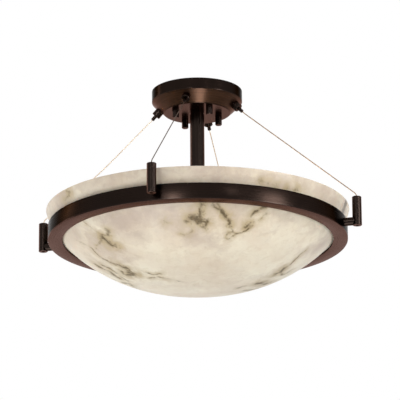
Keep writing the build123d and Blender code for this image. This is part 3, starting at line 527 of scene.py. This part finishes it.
# Veins, as points on the bowl's outside: angle in degrees, millimetres along the section from the bottom.
# Each has its half width in millimetres, the strength of its dark core and of its olive halo.
VEINS = [
    ([(-131, 224), (-130, 211), (-129, 200), (-127, 192), (-124, 187)], 2.4, 0.62, 0.45),
    ([(-128, 188), (-128, 178), (-128, 170), (-126, 166)], 5.2, 0.95, 1.35),
    ([(-128, 186), (-134, 182), (-140, 177)], 2.6, 0.5, 0.5),
    ([(-122, 198), (-121, 192), (-124, 187)], 3.4, 0.82, 0.8),
    ([(-149, 205), (-146, 194), (-144, 182)], 2.0, 0.5, 0.35),
    ([(-144, 182), (-146, 172), (-146, 160), (-145, 148), (-143, 141)], 2.8, 0.86, 0.5),
    ([(-143, 141), (-141, 134), (-142, 126), (-139, 119), (-142, 110), (-146, 105)], 4.6, 1.05, 1.1),
    ([(-146, 105), (-155, 112), (-156, 118), (-150, 123)], 4.6, 0.96, 1.2),
    ([(-143, 117), (-147, 112), (-142, 106)], 6.4, 0.9, 1.3),
    ([(-163, 159), (-163, 147), (-161, 138), (-168, 132), (-170, 124)], 5.4, 0.95, 0.9),
    ([(-157, 150), (-155, 140), (-160, 128)], 4.0, 0.85, 0.9),
    ([(-163, 123), (-167, 115), (-169, 109)], 4.0, 0.75, 0.6),
    ([(177, 125), (-179, 112), (170, 111)], 5.2, 0.9, 0.8),
    ([(-129, 93), (-127, 85), (-119, 82)], 3.2, 0.82, 0.7),
    ([(-140, 82), (-128, 75), (-123, 63)], 3.2, 0.82, 0.7),
    ([(-146, 105), (-140, 94), (-137, 82)], 2.0, 0.5, 0.35),
    ([(-123, 63), (-117, 50), (-109, 40)], 2.2, 0.6, 0.3),
    ([(-80.5, 191), (-79, 191)], 4.0, 0.85, 0.8),
    ([(-76.5, 197), (-75, 194), (-74, 192)], 7.4, 1.7, 1.3),
    ([(-74, 192), (-72, 190), (-70, 188), (-70, 193)], 4.2, 0.96, 0.9),
    ([(-70, 188), (-71, 183), (-71, 178), (-73, 179)], 3.6, 0.86, 0.8),
    ([(-73, 195), (-73, 201), (-73, 211), (-73, 219), (-71, 224)], 5.0, 0.84, 1.35),
    ([(-68, 224), (-67, 216), (-65, 213), (-64, 211)], 3.4, 0.9, 0.8),
    ([(-66, 224), (-64, 215), (-63, 210)], 3.2, 0.84, 0.8),
    ([(-64, 211), (-63, 205), (-61, 199), (-59, 193), (-59, 188)], 3.8, 1.0, 1.2),
    ([(-62, 198), (-60, 192), (-59, 196)], 2.4, 0.82, 0.5),
    ([(-59, 188), (-58, 180), (-56, 174)], 2.4, 0.6, 0.5),
    (
        [(-59, 167), (-58, 171), (-56, 172), (-54, 171), (-55, 164), (-57, 157), (-59, 160), (-59, 167)],
        2.1,
        0.62,
        0.8,
    ),
    ([(-58, 171), (-57, 166), (-58, 160)], 1.6, 0.5, 0.6),
    ([(-54, 170), (-51, 173), (-49, 182), (-48, 190)], 2.6, 1.3, 0.9),
    ([(-48, 190), (-47, 198), (-45, 205), (-44, 214)], 2.6, 0.6, 0.7),
    ([(-51, 187), (-50, 190), (-49, 195)], 3.8, 1.0, 1.35),
    ([(-50, 207), (-49, 214), (-47, 220), (-45, 224)], 3.2, 0.92, 0.7),
    ([(0, 178), (-1, 166), (2, 154), (6, 144), (5, 134)], 2.8, 0.78, 0.7),
    ([(6, 134), (8, 129), (11, 126), (10, 120)], 5.6, 1.1, 1.2),
    ([(11, 126), (20, 133), (22, 139), (20, 145)], 3.4, 0.82, 0.7),
    ([(20, 89), (24, 98), (35, 109), (34, 118)], 5.6, 1.05, 1.1),
    ([(27, 62), (22, 70)], 3.4, 0.8, 0.7),
    ([(47, 82), (50, 103), (50, 113)], 4.8, 0.9, 0.7),
    ([(-83, 168), (-79, 168), (-77, 173)], 3.4, 0.42, 0.6),
    ([(-90, 194), (-89, 190)], 3.6, 0.42, 0.7),
    ([(-133, 277), (-131, 274), (-130, 270), (-131, 266), (-135, 262)], 4.0, 0.42, 0.85),
    ([(-50, 264), (-47, 260), (-44, 258)], 4.0, 0.4, 0.8),
    ([(-39, 257), (-34, 259), (-32, 257)], 4.2, 0.5, 0.9),
]


# Darker, greyer clouds in the stone, with painted shade among them: the front row near runs 200 to 216, from
# -145 to -58 degrees, is painted shade under the flange, and the rows near runs 260 to 268 are painted shade
# on the rim above the ring. Each is angle, run, reach in millimetres and strength.
VEILS_AND_SHADE = [
    (-137, 264, 40, 0.9),
    (-118, 268, 40, 0.8),
    (-98, 266, 30, 0.7),
    (-112, 206, 44, 1.15),
    (-86, 200, 40, 0.9),
    (-132, 170, 44, 0.9),
    (-66, 262, 26, 0.8),
    (-42, 260, 34, 1.0),
    (-10, 260, 34, 0.8),
    (-145, 214, 30, 0.7),
    (-118, 216, 26, 0.9),
    (-104, 214, 26, 1.0),
    (-94, 212, 24, 1.0),
    (-85, 208, 22, 1.0),
    (-78, 210, 20, 0.9),
    (-68, 216, 18, 0.7),
    (-76, 165, 24, 0.8),
    (-66, 150, 22, 0.6),
    (-58, 208, 20, 0.5),
    (-155, 150, 30, 0.45),
    (-31, 203, 24, 0.5),
    (2, 176, 26, 0.8),
    (8, 200, 24, 0.9),
    (0, 100, 30, 0.4),
    (30, 100, 30, 0.4),
    (70, 200, 44, 0.8),
    (110, 150, 40, 0.7),
    (130, 262, 44, 0.9),
    (165, 210, 40, 0.8),
    (60, 262, 40, 0.8),
]


# Where the wandering veins of the back start, as angle and run.
BACK_STARTS = [
    (70, 210),
    (95, 150),
    (118, 225),
    (140, 175),
    (112, 100),
    (55, 190),
    (160, 205),
    (82, 262),
    (138, 252),
]
PER_RADIAN = 57.3  # degrees


def stepped(angle, run, heading, step, least_run):
    """The angle and run a step further on; least_run keeps the angle steady near the bottom."""
    return angle + cos(heading) * step * PER_RADIAN / max(run, least_run), run + sin(heading) * step


def more_veins(seed):
    """Side branches on every vein, and wandering veins on the back, which the photograph hides."""
    random = np.random.default_rng(seed)
    found = []
    for angle, run in BACK_STARTS:
        heading, points = random.uniform(0, 2 * pi), []
        for _ in range(int(random.integers(4, 8))):
            points.append((float(angle), float(run)))
            heading += random.uniform(-0.7, 0.7)
            angle, run = stepped(angle, run, heading, 10, 60)
            run = min(max(run, 70), 268)
        width, dark = float(random.uniform(2.2, 4.4)), float(random.uniform(0.6, 1.0))
        found.append((points, width, dark, 0.7))
    for points, width, dark, soft in VEINS + found:
        for _ in range(1 + int(len(points) * dark / 2)):
            angle, run = points[int(random.integers(0, len(points)))]
            heading, branch = random.uniform(0, 2 * pi), [(angle, run)]
            for _ in range(2):
                heading += random.uniform(-0.9, 0.9)
                angle, run = stepped(angle, run, heading, random.uniform(2.5, 6.0), 40)
                branch.append((float(angle), float(run)))
            fade = float(random.uniform(0.4, 0.85))
            found.append((branch, width * 0.4, dark * fade, soft * 0.5))
    return found


def on_bowl(angle, run):
    radius, height = bowl_point(run)
    return radius * cos(radians(angle)), radius * sin(radians(angle)), height


def bell(distance, width):
    return np.exp(-((distance / width) ** 2))


def vein_strength(points):
    """Strength of the veins' core and halo, and of the grey clouds with painted shade, at each point of an
    array.
    """
    seed_set(5)  # without a seed noise_vector differs from run to run
    wandering = np.zeros_like(points)
    for size, shift in ((30.0, 3.2), (11.0, 2.4), (4.6, 1.35)):
        wandering += shift * np.array([tuple(noise_vector(Vector(p) / size)) for p in points])
    patch = np.array([perlin(Vector(p) / 13.0) for p in points])
    speck = np.array([perlin(Vector(p) / 2.6) for p in points])
    moved = points + wandering
    furthest = 24  # millimetres from a vein beyond which it is not felt
    core, halo, veil_and_shade = np.zeros((3, len(points)))
    for line, width, dark, soft in VEINS + more_veins(11):
        corners = np.array([on_bowl(angle, run) for angle, run in line])
        low, high = corners.min(0) - furthest, corners.max(0) + furthest
        near = np.all(moved > low, axis=1) & np.all(moved < high, axis=1)
        local = moved[near]
        distance = np.full(len(local), 1e9)
        for a, b in zip(corners, corners[1:]):
            step = b - a
            share = np.clip((local - a) @ step / (step @ step), 0, 1)
            distance = np.minimum(distance, np.linalg.norm(local - a - share[:, None] * step, axis=1))
        line_strength = 0.66 * bell(distance, width * 1.05) + 0.50 * bell(distance, width * 0.42)
        core[near] = np.maximum(core[near], dark * line_strength)
        halo[near] = np.maximum(halo[near], soft * bell(distance, width * 2.7))
    for angle, run, wide, strength in VEILS_AND_SHADE:
        gap = np.linalg.norm(points + wandering * 1.6 - np.array(on_bowl(angle, run)), axis=1)
        veil_and_shade = np.maximum(veil_and_shade, strength * bell(gap, wide))
    # painted shade: the side above the ring is painted greyer, in patches
    painted_shade_above_ring = np.clip((points[:, 2] - RING_TOP + 4.8) / 14, 0, 1)
    veil_and_shade = np.maximum(veil_and_shade, 0.70 * painted_shade_above_ring * (0.9 + 0.5 * patch))
    core = core * np.clip(1.0 + 0.8 * patch, 0.45, 1.25) + np.clip(speck - 0.12, 0, 1) * halo * 0.95
    return core, halo * np.clip(0.9 + 0.7 * patch, 0.2, 1.4), veil_and_shade


def make_bowl():
    segments, rows, inner_rows = 800, 190, 44
    outer_runs = [BOWL_RUN * i / rows for i in range(rows + 1)]
    inner_runs = [BOWL_RUN * i / inner_rows for i in range(inner_rows, -1, -1)]
    outer = [bowl_point(run) for run in outer_runs]
    inner = [bowl_point(run, WALL) for run in inner_runs]
    # the rounded rim takes the place of the last two rows outside and the first one inside
    rim = rounded([outer[-2], outer[-1], inner[0], inner[1]], RIM_ROUND, 5, closed=False)[1:-1]
    section = outer[:-2] + rim + inner[1:]
    runs = outer_runs[:-2] + [BOWL_RUN] * len(rim) + inner_runs[1:]
    vertices, faces = lathe(section, segments, Matrix.Identity(4), closed=False)
    faces = [tuple(reversed(face)) for face in faces]
    bowl = piece("stone_bowl", vertices, faces, "alabaster", "bowl", ["bowl"], sharp=60)
    # vein strength is read on the outside, so a vein runs through the wall
    places = []
    for (radius, _), run in zip(section, runs):
        out_radius, out_height = bowl_point(run)
        turns = [0.0] if radius < 1e-6 else [2 * pi * k / segments for k in range(segments)]
        places += [(out_radius * cos(turn), out_radius * sin(turn), out_height) for turn in turns]
    for name, values in zip(("vein", "halo", "veil_and_shade"), vein_strength(np.array(places))):
        attribute = bowl.data.attributes.new(name, "FLOAT", "POINT")
        attribute.data.foreach_set("value", values.astype(np.float32))


make_bowl()


# ------------------------------------------------------------------ ring, with softened edges
def make_ring():
    section = rounded(
        [
            (RING_OPENING_R, RING_FOOT, 0.4),
            (RING_R, RING_FOOT, 0.5),
            (RING_R, RING_TOP, 0.7),
            (RING_R - RING_SHEET, RING_TOP, 0.7),
            (RING_R - RING_SHEET, RING_FOOT + RING_SHEET, 1.2),
            (RING_OPENING_R, RING_FOOT + RING_SHEET, 0.4),
        ],
        0.5,
    )
    vertices, faces = lathe(section, 360, Matrix.Identity(4))
    piece("ring_section", vertices, faces, "bronze", "fixture", ["ring"], "bronze_ring")


make_ring()


# ------------------------------------------------------------------ cables, seven wires laid together
def route(points):
    """Points along a smooth NURBS line through a cable's route, in metres."""
    curve = bpy.data.curves.new("route", "CURVE")
    curve.dimensions, curve.resolution_u = "3D", 48
    spline = curve.splines.new("NURBS")
    spline.points.add(len(points) - 1)
    for point, place in zip(spline.points, points):
        point.co = (*place, 1)
    spline.order_u, spline.use_endpoint_u = 3, True
    holder = bpy.data.objects.new("route", curve)
    mesh = bpy.data.meshes.new_from_object(holder)
    line = [vertex.co.copy() for vertex in mesh.vertices]
    bpy.data.objects.remove(holder)
    bpy.data.curves.remove(curve)
    bpy.data.meshes.remove(mesh)
    return line


def evenly(line, step):
    """The same line with its points a fixed step apart."""
    lengths = [0.0]
    for a, b in zip(line, line[1:]):
        lengths.append(lengths[-1] + (b - a).length)
    count = int(lengths[-1] / step)
    stations = np.linspace(0, lengths[-1], count + 1)
    axes = [np.interp(stations, lengths, [point[i] for point in line]) for i in range(3)]
    return [Vector(point) for point in zip(*axes)], stations


def strands(line, stations, sideways):
    """A straight core wire and six wires laid round it, each closed at its ends."""
    wire, lay = 0.8 * MM / 3, 13 * MM
    parts = []
    for k in range(7):
        path = []
        for i, point in enumerate(line):
            ahead = (line[min(i + 1, len(line) - 1)] - line[max(i - 1, 0)]).normalized()
            other = ahead.cross(sideways)
            if k:
                turn = 2 * pi * (stations[i] / lay + (k - 1) / 6)
                point = point + (sideways * cos(turn) + other * sin(turn)) * (2 * wire)
            path.append((point, sideways, other))
        vertices, faces = [], []
        for point, a, b in path:
            vertices += [point + (a * cos(pi / 3 * n) + b * sin(pi / 3 * n)) * wire for n in range(6)]
        for i in range(len(path) - 1):
            for n in range(6):
                m = (n + 1) % 6
                faces.append((i * 6 + n, i * 6 + m, i * 6 + 6 + m, i * 6 + 6 + n))
        last = (len(path) - 1) * 6
        faces += [tuple(range(5, -1, -1)), tuple(range(last, last + 6))]
        parts.append((vertices, faces))
    return joined(parts)


def make_cables():
    """Four cables on the solid's route; one hangs a little slack, and each is one steel in a painted tone:
    painted shade on the front cable, painted light on the back and left ones, a middle brown on the right
    one.
    """
    slack = {"left": 8.0}
    # painted tones: painted shade on the front cable, painted light on the back and left ones
    painted_tones = {"front": "cable_dark", "right": "cable_steel", "back": "cable_pale", "left": "cable_pale"}
    points = [  # out from the stem's axis and up, with a point about 6 diameters each side of both bends
        (50.870, -15.570),
        (67.403, -33.270),
        (74.420, -40.780),
        (81.770, -46.960),
        (241.350, -181.020),
        (248.700, -187.200),
        (248.700, -196.800),
        (248.700, -203.500),
    ]
    for side, angle in SIDES.items():
        out = around(angle)
        (near, high), (far, low) = points[3:5]
        middle = ((near + far) / 2, (high + low) / 2 - slack.get(side, 0.0))
        places = [(out * r + Vector((0, 0, z))) * MM for r, z in [*points[:4], middle, *points[4:]]]
        line, stations = evenly(route(places), 1.0 * MM)
        wires = strands(line, stations, out.cross(Vector((0, 0, 1))))
        name, solid = f"stranded_cable_{side}", f"cable_{side}"
        piece(name, *wires, "cable_steel", "fixture", [solid], painted_tones[side], 80)


make_cables()


# ------------------------------------------------------------------ fastenings
def make_fastenings():
    studs, stud_nuts, gripper_nuts, screws = [], [], [], []
    for angle in CORNERS.values():
        place = upright(STUD_CIRCLE_R * cos(radians(angle)), STUD_CIRCLE_R * sin(radians(angle)))
        studs.append(thread(2.0, 0.32, 0.7, *heights("canopy_studs"), place, 24))
        stud_nuts.append(nut(7.0, heights("stud_nuts"), place, 2.0 + THREAD_GAP, 0.45))
    gripper_levels = (-4.0 - CANOPY_SHEET - THREAD_GAP, -CANOPY_SHEET - THREAD_GAP)
    slope = hypot(BEVEL_RUN, BEVEL_DROP)
    for angle in SIDES.values():
        out = around(angle)
        square = (out * BEVEL_DROP - Vector((0, 0, BEVEL_RUN))) / slope
        place = facing(out * BEVEL_R + Vector((0, 0, BEVEL_Z)), square)
        gripper_nuts.append(nut(12.0, gripper_levels, place, 4.0 + THREAD_GAP, 0.6))
        screws.append(socket_screw(out))
    stem_nut = nut(16.0, heights("nipple_nut"), upright(), 4.9 + THREAD_GAP, 0.8)
    for name, mesh, solid in (
        ("threaded_studs", joined(studs), "canopy_studs"),
        ("chamfered_stud_nuts", joined(stud_nuts), "stud_nuts"),
        ("chamfered_stem_nut", stem_nut, "nipple_nut"),
        ("chamfered_gripper_nuts", joined(gripper_nuts), "gripper_nuts"),
        ("socket_screws", joined(screws), "post_screws"),
    ):
        piece(name, *mesh, "zinc_steel", "fixture", [solid])


def socket_screw(out):
    """A low round head with a hexagonal socket, inside the band, and its shank into an arm."""
    head_height, length = 2.8, 13.8
    low, high = extent("post_screws")
    start = out * (high[0] - length) + Vector((0, 0, (low[2] + high[2]) / 2))
    place = facing(start, out)
    section = [
        (2.45, head_height),
        (4.75, head_height),
        (4.75, 1.8),
        (4.65, 1.1),
        (4.1, 0.35),
        (3.1, 0.0),
        (1.75, 0.0, True),
        (1.75, 1.9, True),
        (0.02, 1.9),
    ]
    segments = 48
    vertices, faces = lathe(section, segments, place, closed=False)
    faces.append(tuple(range(len(vertices) - segments, len(vertices))))
    return joined([(vertices, faces), thread(2.5, 0.38, 0.8, head_height - 0.2, length, place, 24)])


make_fastenings()


# ------------------------------------------------------------------ lampholders and bulbs
def make_holder(lamp, place):
    """A glazed lampholder with a groove round it, and the rolled screw shell inside."""
    (back, mouth), (shell_back, shell_mouth) = lamp_levels("lampholder_a"), lamp_levels("screw_shell_a")
    radius, bore = 18.5, 13.7
    section = rounded(
        [
            (0.0, back, 0),
            (4.8, back, 0.2),
            (4.8, back + 5.0, 0.3),
            (10.0, back + 5.0, 1.2),
            (13.0, back + 8.0, 1.5),
            (radius, back + 14.0, 2.5),
            (radius, back + 25.0, 0.4),
            (radius - 0.6, back + 25.6, 0.4),
            (radius - 0.6, back + 27.0, 0.4),
            (radius, back + 27.6, 0.4),
            (radius, mouth, 1.4),
            (bore, mouth, 0.6),
            (bore, shell_back - 2.0, 0.4),
            (0.0, shell_back - 2.0, 0),
        ],
        0.5,
        closed=False,
    )
    mesh = lathe(section, 96, place, closed=False)
    piece(f"glazed_holder_{lamp}", *mesh, "porcelain", "fixture", [f"lampholder_{lamp}"])

    waves, steps, depth, sheet = 6, 48, 0.132, 0.32
    outer, inner = [], []
    for i in range(steps + 1):
        height = shell_back + (shell_mouth - shell_back) * i / steps
        groove = depth * (1 - cos(2 * pi * waves * i / steps)) / 2
        outer.append((bore - 0.08 - groove, height))
        inner.append((bore - 0.08 - sheet - groove, height))
    mesh = lathe(outer + inner[::-1], 72, place)
    piece(f"rolled_shell_{lamp}", *mesh, "brass", "fixture", [f"screw_shell_{lamp}"])


def make_bulb(lamp, place):
    """A screw cap with its black glass insulator and contact, and a frosted bulb."""
    (tip, front), bulb_end = lamp_levels("bulb_base_a"), lamp_levels("bulb_glass_a")[1]
    body = f"bulb_{lamp}"
    turned = [
        ([(12.2, front - 1.6), (12.85, front - 1.3), (12.95, front), (0.0, front)], 72),
        ([(10.9, tip + 3.2), (12.2, tip + 4.7), (0.0, tip + 4.7)], 72),
        ([(0.0, tip), (2.3, tip + 0.15), (3.1, tip + 0.9), (3.2, tip + 1.4), (0.0, tip + 1.4)], 48),
    ]
    cap = [thread(13.0, 0.75, 3.63, tip + 4.6, front - 0.6, place, 72, 0.6)]
    cap += [lathe(section, segments, place, closed=False) for section, segments in turned]
    piece(f"threaded_cap_{lamp}", *joined(cap), "bulb_cap", body, [f"bulb_base_{lamp}"])

    section = [(0.0, tip + 0.9), (3.0, tip + 0.9), (5.2, tip + 1.2), (10.8, tip + 3.2), (0.0, tip + 3.3)]
    insulator = lathe(section, 48, place, closed=False)
    piece(f"cap_insulator_{lamp}", *insulator, "bulb_cap", body, material="black_glass")

    ball, neck_radius, steps = 30.0, 13.0, 40
    centre = bulb_end - ball
    neck_end = front + 5.0 - centre
    touch = atan2(neck_radius, neck_end) - acos(ball / hypot(neck_end, neck_radius))
    slopes = [touch * (1 - k / steps) for k in range(steps)]
    arc = [(ball * sin(slope), centre + ball * cos(slope)) for slope in slopes]
    neck = rounded(
        [
            (12.4, front - 0.2, 0),
            (12.7, front + 0.4, 0.3),
            (neck_radius, front + 5.0, 14.0),
            (*arc[0], 0),
        ],
        6.0,
        10,
        closed=False,
    )
    glass = lathe(neck + arc[1:] + [(0.0, bulb_end)], 96, place, closed=False)
    piece(f"frosted_bulb_{lamp}", *glass, "frosted_glass", body, [f"bulb_glass_{lamp}"], sharp=50)


for lamp, angle in LAMPS.items():
    lamp_axis = facing((0, 0, LAMP_Z), around(angle))
    make_holder(lamp, lamp_axis)
    make_bulb(lamp, lamp_axis)


# ------------------------------------------------------------------ studio
def soft_box(name, place, target, width, height, power, glossy=True):
    """A rectangular lamp at a place, aimed at a target, in metres and watts; not glossy hides it in metal."""
    data = bpy.data.lights.new(name, "AREA")
    data.shape, data.size, data.size_y = "RECTANGLE", width, height
    data.energy = power
    light = bpy.data.objects.new(name, data)
    bpy.context.scene.collection.objects.link(light)
    light.location = place
    light.rotation_euler = (Vector(target) - Vector(place)).to_track_quat("-Z", "Y").to_euler()
    light.visible_camera = False
    light.visible_glossy = glossy


def shown_rays(nodes, links):
    """1 for a ray that shows the surroundings: to the camera, in metal or through glass."""
    rays = nodes.new("ShaderNodeLightPath")
    shown = rays.outputs["Is Camera Ray"]
    for ray in ("Is Glossy Ray", "Is Transmission Ray"):
        either = nodes.new("ShaderNodeMath")
        either.operation = "MAXIMUM"
        links.new(shown, either.inputs[0])
        links.new(rays.outputs[ray], either.inputs[1])
        shown = either.outputs[0]
    return shown


def studio():
    world = bpy.data.worlds.new("studio")
    bpy.context.scene.world = world
    world.use_nodes = True
    tree = world.node_tree
    output, lit = tree.nodes["World Output"], tree.nodes["Background"]
    seen = tree.nodes.new("ShaderNodeBackground")
    for background, strength in ((lit, 0.41), (seen, 1.0)):
        background.inputs["Color"].default_value = (1, 1, 1, 1)
        background.inputs["Strength"].default_value = strength
    mix = tree.nodes.new("ShaderNodeMixShader")
    tree.links.new(shown_rays(tree.nodes, tree.links), mix.inputs["Fac"])
    tree.links.new(lit.outputs[0], mix.inputs[1])
    tree.links.new(seen.outputs[0], mix.inputs[2])
    tree.links.new(mix.outputs[0], output.inputs["Surface"])

    # the floor shows pale, also in metal and glass, and still takes the object's shadow
    floor_tree = Tree("studio_floor")
    shade = floor_tree.noise(floor_tree.where(), 0.8, 3.0)
    shown = shown_rays(floor_tree.nodes, floor_tree.links)
    floor_tree.set(
        Base_Color=floor_tree.mix(shade, (0.86, 0.86, 0.85), (0.90, 0.90, 0.89)),
        Roughness=floor_tree.span(shade, 0.3, 0.7, 0.55, 0.65),
        Emission_Color=(1, 1, 1, 1),
        Emission_Strength=floor_tree.math("MULTIPLY", shown, 0.55),
    )
    half, level = 90, -7.0
    mesh = bpy.data.meshes.new("studio_floor")
    corners = [(-half, -half, level), (half, -half, level), (half, half, level), (-half, half, level)]
    mesh.from_pydata(corners, [], [(0, 1, 2, 3)])
    mesh.materials.append(floor_tree.material)
    floor = bpy.data.objects.new("studio_floor", mesh)
    bpy.context.scene.collection.objects.link(floor)

    # the glow is hidden in the bowl, and makes the bright patch on the canopy's bevel
    soft_box("key", (1.60, -0.57, -0.12), (0, 0, -0.24), 0.42, 0.74, 17.5)
    soft_box("strip", (-0.10, -2.9, 0.16), (0, 0, -0.22), 0.30, 0.30, 13)
    soft_box("line", (1.69, -1.98, 0.52), (0, 0, -0.15), 0.10, 0.30, 2.0)
    soft_box("glow", (0.050, -0.125, -0.262), (0.020, -0.056, -0.026), 0.10, 0.10, 0.37)
    soft_box("rim", (-2.19, 0.25, 0.44), (0, 0, -0.23), 0.34, 0.60, 5.0)
    soft_box("under", (-0.7, -0.9, -2.5), (0, 0, -0.3), 1.7, 1.7, 35)
    soft_box("fill", (-2.3, -1.2, -1.4), (0, 0, -0.25), 2.0, 1.8, 15, glossy=False)
    soft_box("top", (0.2, 0.5, 1.9), (0, 0, -0.3), 1.2, 1.2, 22, glossy=False)


studio()
bpy.context.scene.view_settings.view_transform = "Standard"


def use(material, *names):
    """Gives CAD nodes one of the materials above."""
    for name in names:
        nodes[name].data.materials.clear()
        nodes[name].data.materials.append(MATERIALS[material])


for part in frame["record"]["subparts"]:
    use(part["material_slot"], part["node"])
use("bronze_canopy", "canopy")
use("bronze_stem", "stem", "stem_collar")
for side in SIDES:
    use(f"bronze_post_{side}", f"post_{side}")
for corner in CORNERS:
    use(f"bronze_cap_{corner}", f"cap_nut_{corner}")
